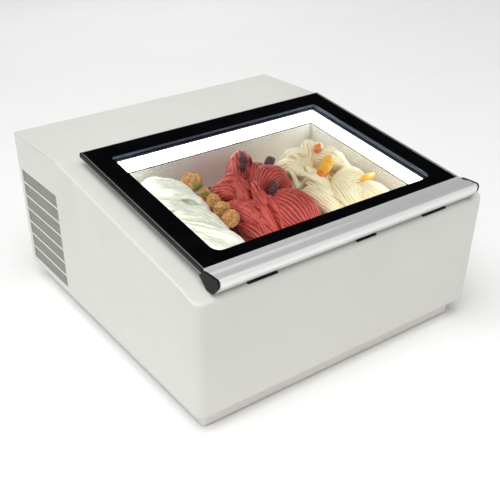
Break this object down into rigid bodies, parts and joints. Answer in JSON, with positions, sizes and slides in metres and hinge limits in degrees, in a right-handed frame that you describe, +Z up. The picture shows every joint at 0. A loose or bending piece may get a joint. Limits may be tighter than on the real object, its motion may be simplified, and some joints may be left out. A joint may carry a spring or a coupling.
{
  "type": "countertop display freezer",
  "caption": "Sloped-front countertop freezer with a lit well of gelato pans under a hinged double-glazed lid, and a vented refrigeration compartment behind.",
  "frame": {"origin": "centre of the footprint on the surface the freezer stands on", "axes": "+X to the right of the front, +Y towards the rear, +Z up"},
  "size_m": [0.65, 0.6792, 0.3598],
  "materials": {
    "case_paint": "satin",
    "plinth_paint": "satin",
    "foot_rubber": "matte",
    "grille_steel": "satin",
    "zinc_sheet": "matte",
    "insulation_foam": "matte",
    "liner_steel": "satin",
    "pan_steel": "polished",
    "opal_diffuser": "satin",
    "led_board": "matte",
    "copper_pipe": "satin",
    "gelato_white": "matte",
    "gelato_berry": "satin",
    "gelato_cream": "matte",
    "compressor_paint": "satin",
    "condenser_fins": "satin",
    "fan_alloy": "satin",
    "grey_plastic": "matte",
    "black_plastic": "satin",
    "hinge_steel": "satin",
    "pad_rubber": "matte",
    "lid_glass": "polished",
    "lid_aluminium": "satin",
    "slate_plastic": "satin"
  },
  "bodies": {
    "cabinet": {"base_tray": "plinth_paint", "cavity_liner": "liner_steel", "compressor": "compressor_paint", "compressor_plate": "zinc_sheet", "condenser": "condenser_fins", "control_box": "grey_plastic", "discharge_pipe": "copper_pipe", "evaporator_coil": "copper_pipe", "fan_motor": "grey_plastic", "fan_shroud": "zinc_sheet", "filter_drier": "copper_pipe", "foam_insulation": "insulation_foam", "foot_front_left": "foot_rubber", "foot_front_right": "foot_rubber", "foot_rear_left": "foot_rubber", "foot_rear_right": "foot_rubber", "gelato_centre": "gelato_berry", "gelato_left": "gelato_white", "gelato_right": "gelato_cream", "grille_mesh_left": "grille_steel", "grille_mesh_right": "grille_steel", "hinge_bracket_left": "hinge_steel", "hinge_bracket_right": "hinge_steel", "led_strip_front": "led_board", "led_strip_rear": "led_board", "lid_catch": "black_plastic", "lid_rest_pad_left": "pad_rubber", "lid_rest_pad_right": "pad_rubber", "light_collar": "opal_diffuser", "liquid_pipe": "copper_pipe", "mains_inlet": "black_plastic", "outer_case": "case_paint", "pan_centre": "pan_steel", "pan_left": "pan_steel", "pan_right": "pan_steel", "partition_panel": "zinc_sheet", "plinth_skirt": "plinth_paint", "rear_cover": "case_paint", "rear_panel": "case_paint", "suction_pipe": "copper_pipe", "switch_housing": "black_plastic", "thermostat": "black_plastic"},
    "lid": {"lid_glass": "lid_glass", "lid_side_trim_left": "lid_aluminium", "lid_side_trim_right": "lid_aluminium", "lid_rear_trim": "black_plastic", "lid_inner_frame": "black_plastic", "lid_inner_glass": "lid_glass", "lid_spacer": "slate_plastic", "lid_gasket": "pad_rubber", "lid_handle": "lid_aluminium", "handle_cap_left": "black_plastic", "handle_cap_right": "black_plastic", "hinge_leaf_left": "hinge_steel", "hinge_leaf_right": "hinge_steel"},
    "fan": {"fan_rotor": "fan_alloy"},
    "rocker": {"switch_rocker": "black_plastic"},
    "button_down": {"thermostat_button_down": "grey_plastic"},
    "button_set": {"thermostat_button_set": "grey_plastic"},
    "button_up": {"thermostat_button_up": "grey_plastic"}
  },
  "joints": [
    {"name": "lid_hinge", "type": "hinge", "parent": "cabinet", "child": "lid", "pos_m": [0, 0.11477, 0.34613], "axis": [-1, 0, 0], "range_deg": [0, 72]},
    {"name": "fan_spin", "type": "hinge", "parent": "cabinet", "child": "fan", "pos_m": [-0.2475, 0.2416, 0.161], "axis": [1, 0, 0], "continuous": true},
    {"name": "rocker_tip", "type": "hinge", "parent": "cabinet", "child": "rocker", "pos_m": [0.196, 0.3328, 0.092], "axis": [-1, 0, 0], "range_deg": [0, 18]},
    {"name": "button_down_press", "type": "slide", "parent": "cabinet", "child": "button_down", "axis": [0, -1, 0], "range_m": [0, 0.0012], "stiffness_N_per_m": 400},
    {"name": "button_set_press", "type": "slide", "parent": "cabinet", "child": "button_set", "axis": [0, -1, 0], "range_m": [0, 0.0012], "stiffness_N_per_m": 400},
    {"name": "button_up_press", "type": "slide", "parent": "cabinet", "child": "button_up", "axis": [0, -1, 0], "range_m": [0, 0.0012], "stiffness_N_per_m": 400}
  ]
}
